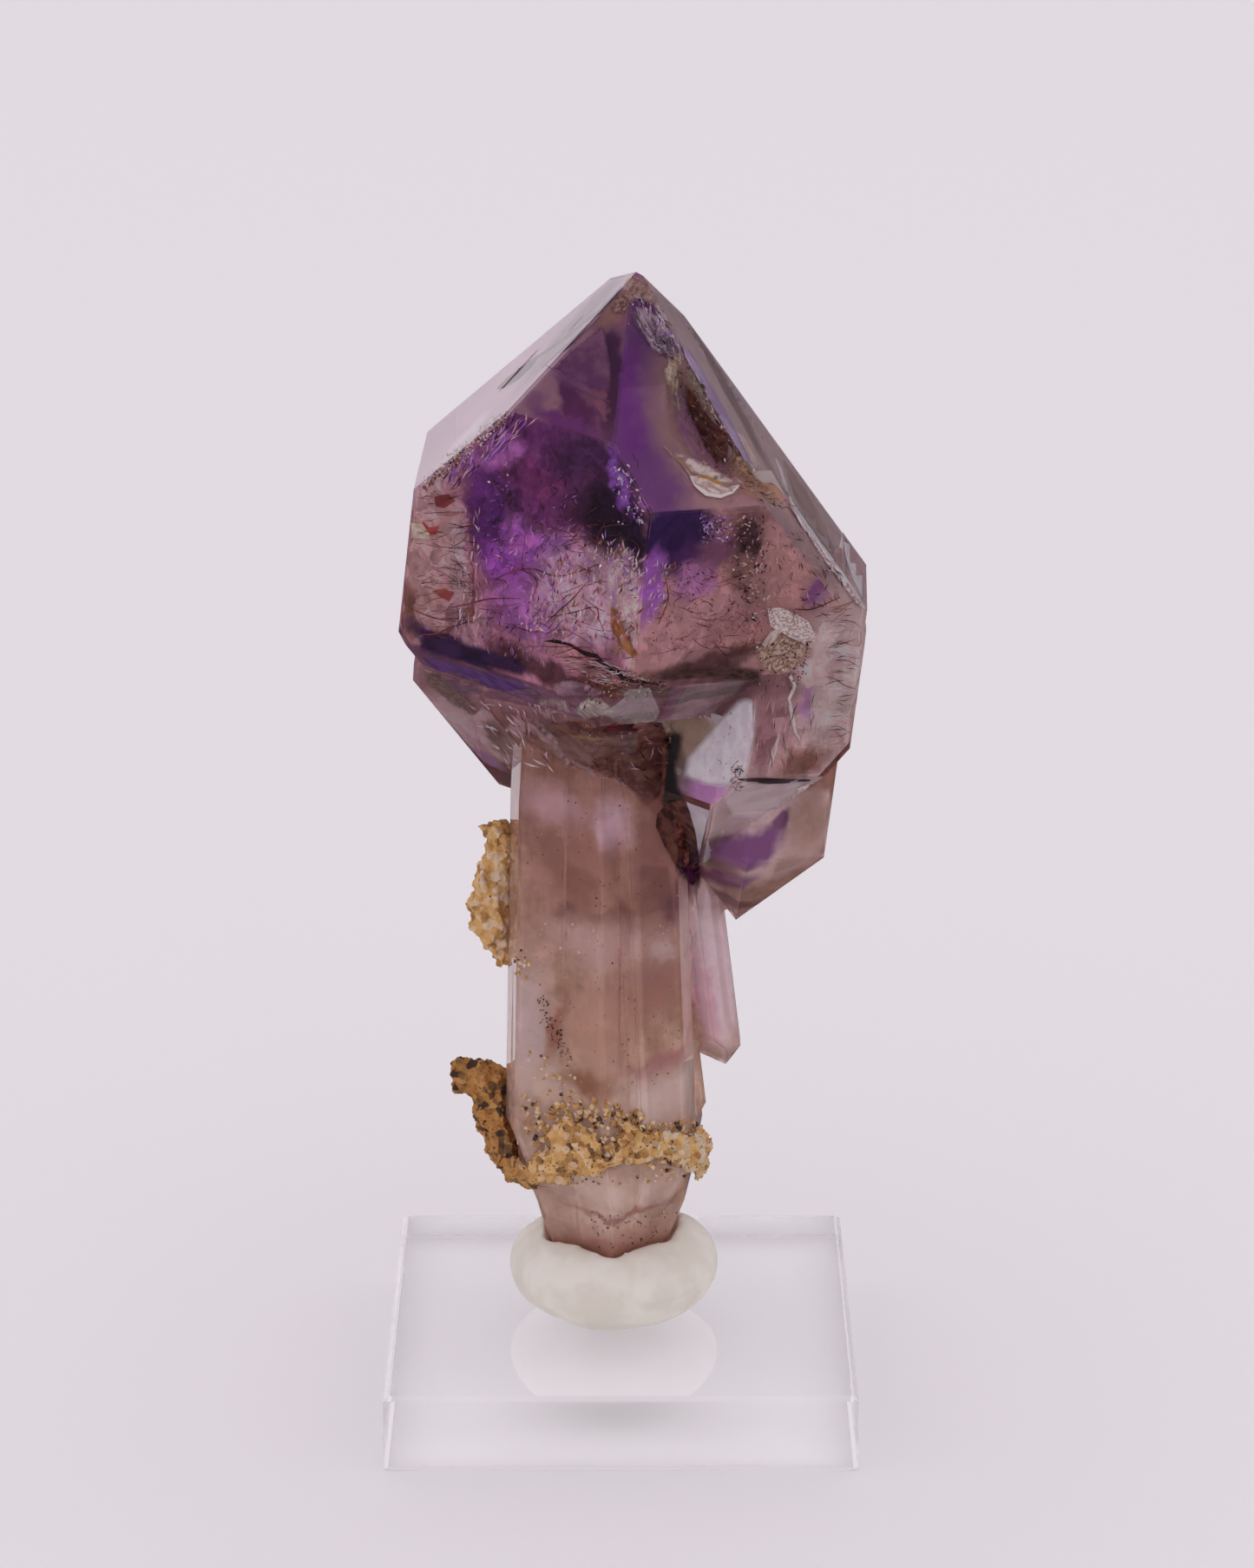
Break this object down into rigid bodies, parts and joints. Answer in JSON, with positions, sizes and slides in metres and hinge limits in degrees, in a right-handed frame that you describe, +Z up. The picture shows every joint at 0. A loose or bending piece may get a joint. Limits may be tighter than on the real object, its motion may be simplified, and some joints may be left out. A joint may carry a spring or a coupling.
{
  "type": "amethyst scepter crystal on a display block",
  "caption": "Amethyst scepter, a faceted violet and smoky quartz head on a slender quartz stem with ochre matrix, held upright in putty on a clear acrylic block.",
  "frame": {"origin": "centre of the acrylic block's underside", "axes": "+Z up, +X to the right and +Y away from the viewer, seen from the front"},
  "size_m": [0.0386, 0.0386, 0.0958],
  "materials": {
    "acrylic": "clear polished acrylic",
    "putty": "soft cream mounting putty",
    "quartz": "natural crystal faces, violet to smoky brown",
    "matrix": "rough ochre iron-stained rock"
  },
  "bodies": {
    "root": {"acrylic_block": "acrylic", "putty": "putty", "scepter": "quartz", "matrix_upper": "matrix", "matrix_lower": "matrix"}
  },
  "joints": []
}
